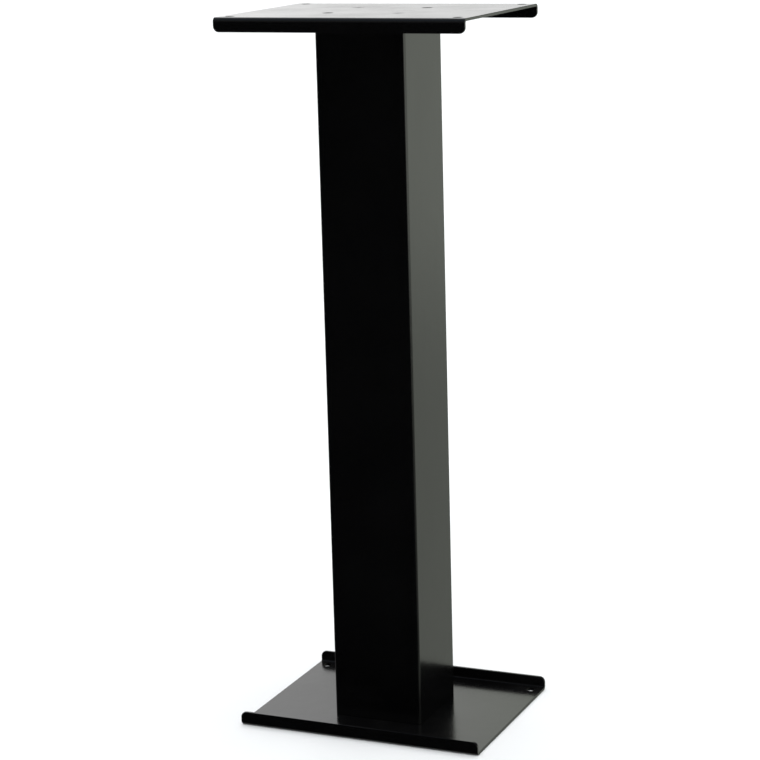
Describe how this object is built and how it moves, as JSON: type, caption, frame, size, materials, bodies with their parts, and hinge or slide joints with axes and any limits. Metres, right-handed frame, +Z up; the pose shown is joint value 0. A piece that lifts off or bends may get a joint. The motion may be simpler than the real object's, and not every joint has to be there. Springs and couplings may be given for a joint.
{
  "type": "display plinth",
  "caption": "Free-standing steel pedestal: a square tube column with a flanged rectangular plate at the head to carry a display or device, and a matching flanged plate as its foot.",
  "frame": {"origin": "centre of the base plate's underside, on the floor", "axes": "+Z up the column, +X along the plates' long sides and their bends, -Y towards the front flange"},
  "size_m": [0.2794, 0.216, 0.7747],
  "materials": {
    "powder_coat": "satin black powder coat",
    "end_plate_coat": "thin black powder coat over welded steel",
    "black_screws": "black oxide, slightly glossy",
    "bare_steel": "zinc plated"
  },
  "bodies": {
    "root": {"top_plate": "powder_coat", "base_plate": "powder_coat", "column": "powder_coat", "top_end_plate": "end_plate_coat", "bottom_end_plate": "end_plate_coat", "top_screw_front_left": "black_screws", "top_screw_front_right": "black_screws", "top_screw_back_left": "black_screws", "top_screw_back_right": "black_screws", "top_weld_nut_front_left": "bare_steel", "top_weld_nut_front_right": "bare_steel", "top_weld_nut_back_left": "bare_steel", "top_weld_nut_back_right": "bare_steel", "base_screw_front_left": "black_screws", "base_screw_front_right": "black_screws", "base_screw_back_left": "black_screws", "base_screw_back_right": "black_screws", "base_weld_nut_front_left": "bare_steel", "base_weld_nut_front_right": "bare_steel", "base_weld_nut_back_left": "bare_steel", "base_weld_nut_back_right": "bare_steel"}
  },
  "joints": []
}
